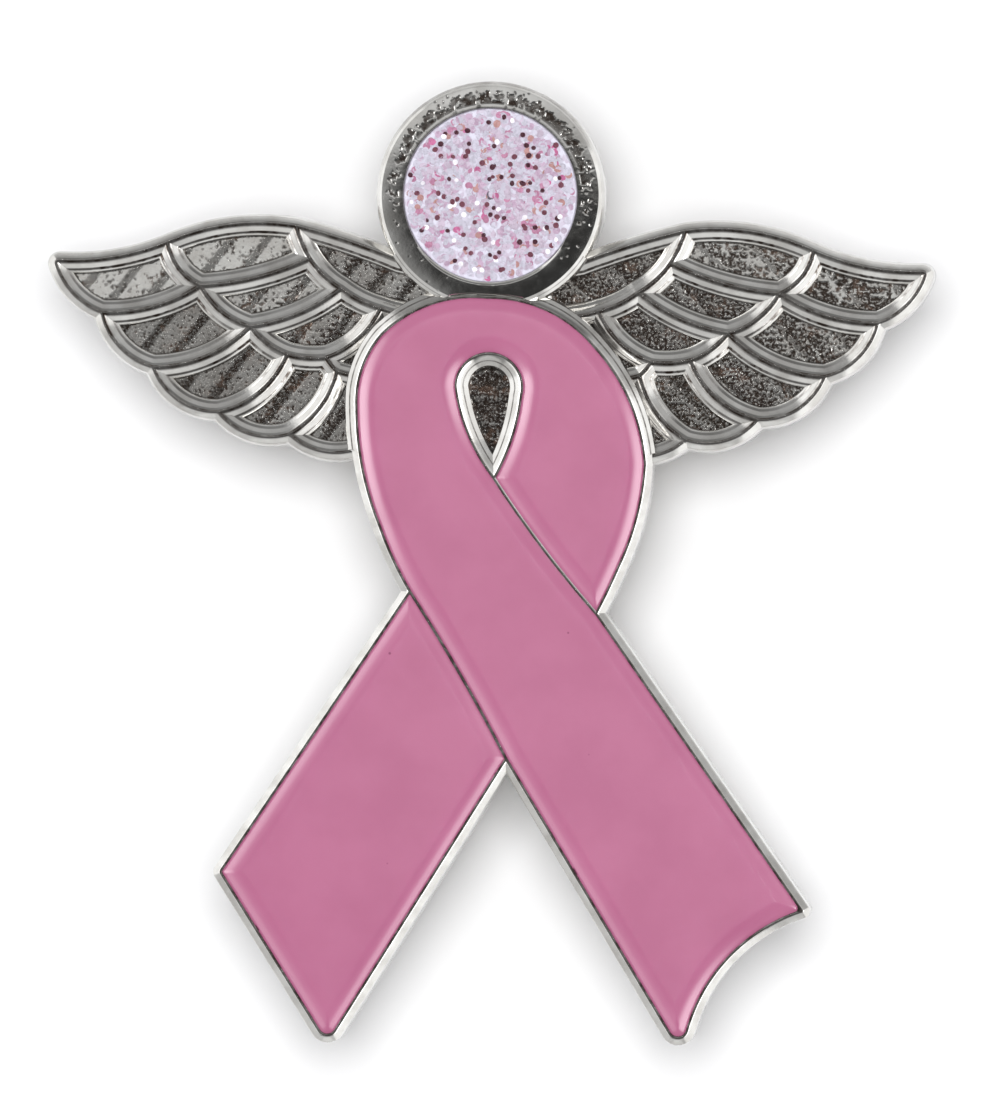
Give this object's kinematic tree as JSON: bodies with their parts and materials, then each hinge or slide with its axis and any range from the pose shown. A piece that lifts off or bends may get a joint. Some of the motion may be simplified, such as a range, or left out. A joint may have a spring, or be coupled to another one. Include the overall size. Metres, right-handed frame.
{
  "type": "awareness ribbon pin",
  "caption": "Angel-shaped lapel pin: cast metal wings and head ring, pink enamel awareness ribbon, glitter enamel head, post and clutch on the back.",
  "frame": {"origin": "under the middle of the badge's outline, on the plane that the clutch's flat end rests on", "axes": "+X to the badge's right as seen from the front, +Y from the ribbon tails to the head, +Z out of the badge's face"},
  "size_m": [0.0298, 0.0322, 0.009],
  "materials": {
    "nickel_plate": "bright nickel plate on cast zinc, with an orange-peel and hammered cast texture in the sunk fields",
    "pink_enamel": "soft enamel, smooth gloss, slightly domed with soft shoulders",
    "glitter_enamel": "clear gloss enamel full of pale pink hexagon glitter",
    "clutch_nickel": "nickel-plated brass, satin bright"
  },
  "bodies": {
    "root": {"badge_body": "nickel_plate", "ribbon_enamel_front": "pink_enamel", "ribbon_enamel_tail": "pink_enamel", "head_glitter_enamel": "glitter_enamel", "clutch": "clutch_nickel"}
  },
  "joints": []
}
